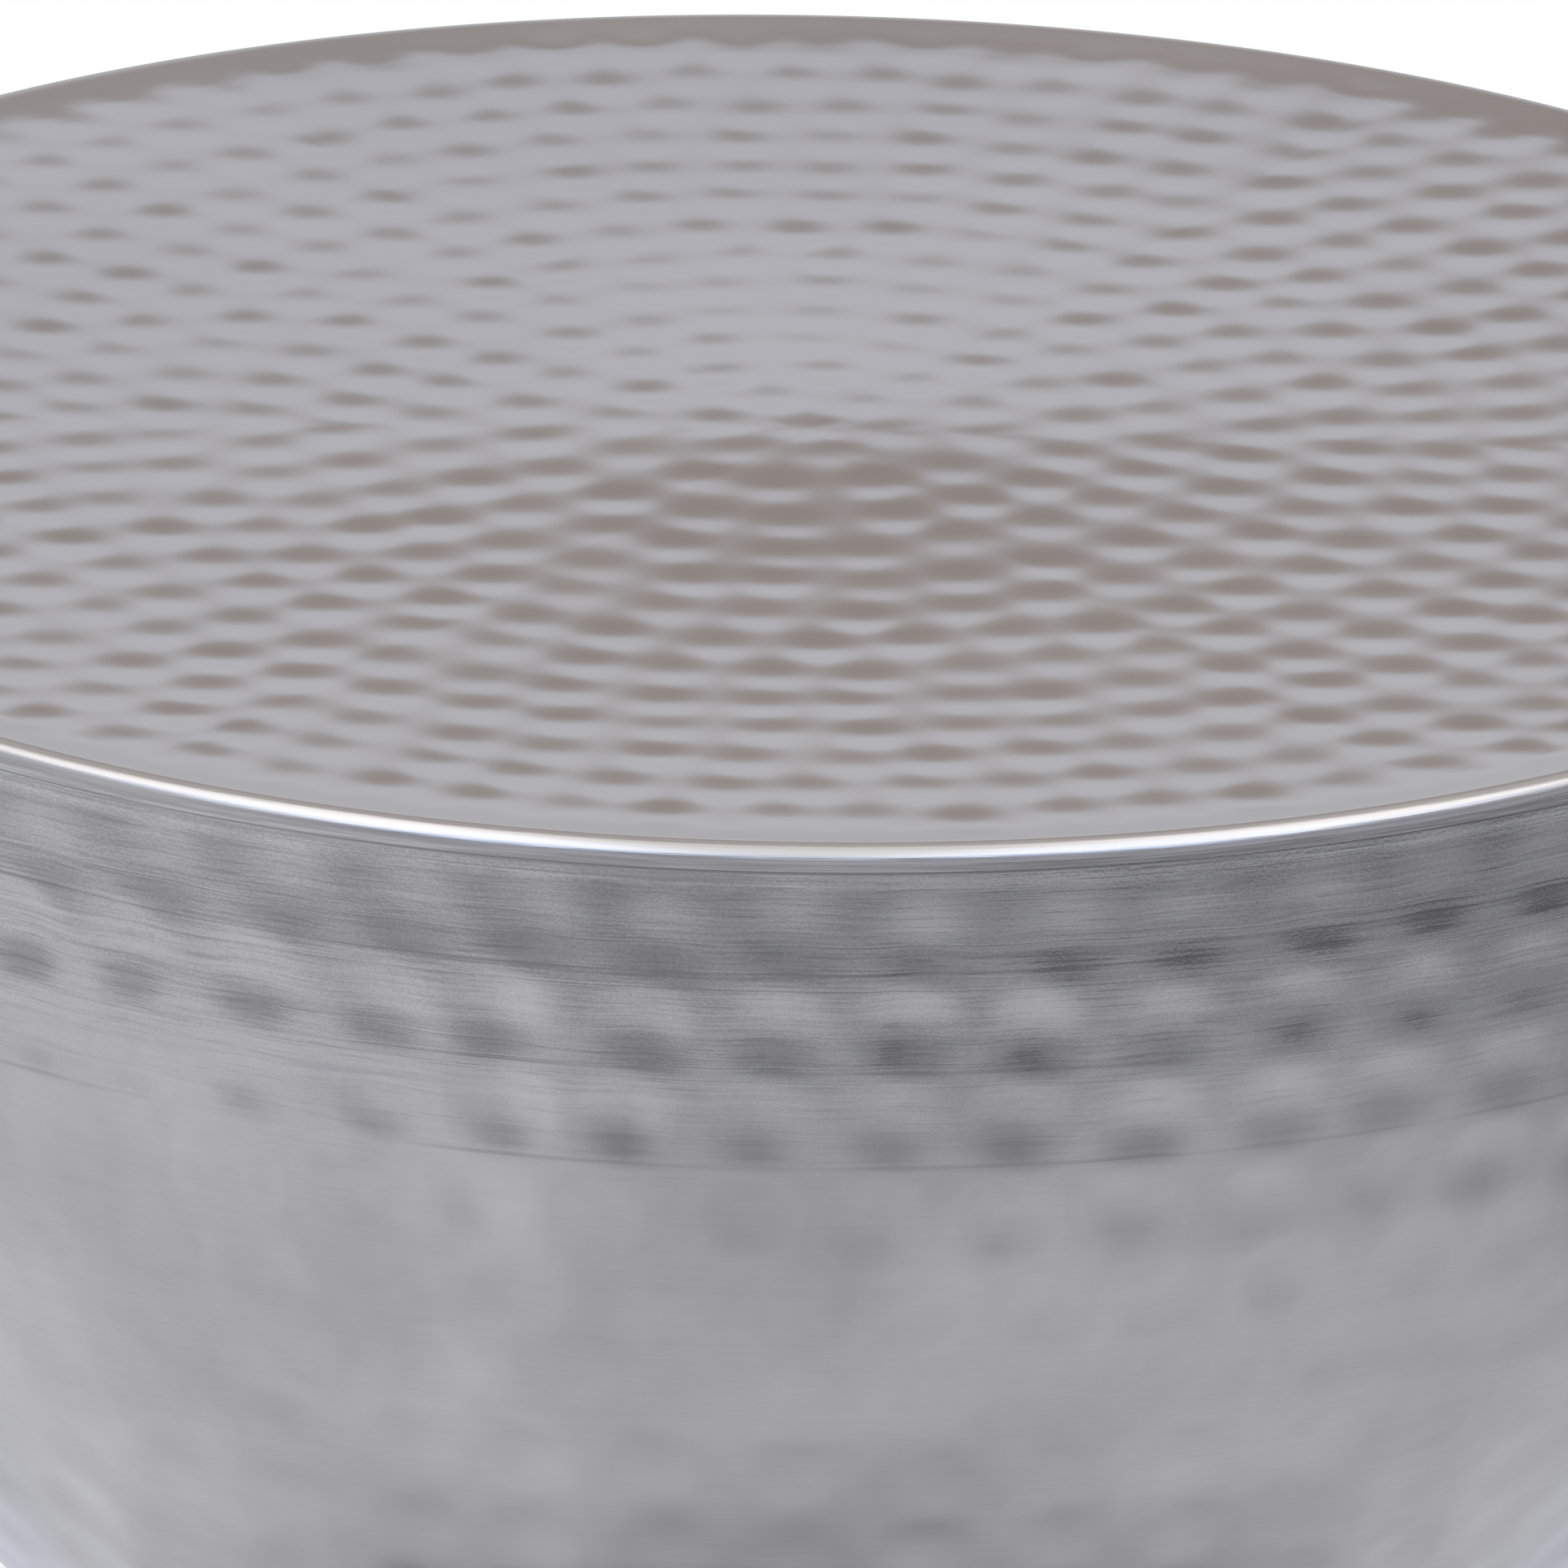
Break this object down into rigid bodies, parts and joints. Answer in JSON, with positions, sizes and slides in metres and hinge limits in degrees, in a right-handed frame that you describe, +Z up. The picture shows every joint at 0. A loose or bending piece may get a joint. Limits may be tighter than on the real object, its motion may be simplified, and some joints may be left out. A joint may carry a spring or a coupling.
{
  "type": "drum side table",
  "caption": "Hourglass drum side table of spun, hammered aluminium: dished round top, flared shells bolted at a waist, open foot edge on nylon glides.",
  "frame": {"origin": "centre of the foot on the floor plane", "axes": "+Z up along the table's axis, towards the top panel; the front is -Y"},
  "size_m": [0.4319, 0.432, 0.559],
  "materials": {
    "top_aluminium": "hammered in rings and satin brushed",
    "shell_aluminium": "spun, hammered in rows and brushed round the axis",
    "zinc_steel": "zinc plated",
    "glide_nylon": "moulded black nylon"
  },
  "bodies": {
    "root": {"top_panel": "top_aluminium", "upper_shell": "shell_aluminium", "lower_shell": "shell_aluminium", "upper_clamp_ring": "zinc_steel", "lower_clamp_ring": "zinc_steel", "waist_bolts": "zinc_steel", "waist_washers": "zinc_steel", "waist_nuts": "zinc_steel", "foot_wire": "zinc_steel", "foot_glide_1": "glide_nylon", "foot_glide_2": "glide_nylon", "foot_glide_3": "glide_nylon", "foot_glide_4": "glide_nylon"}
  },
  "joints": []
}
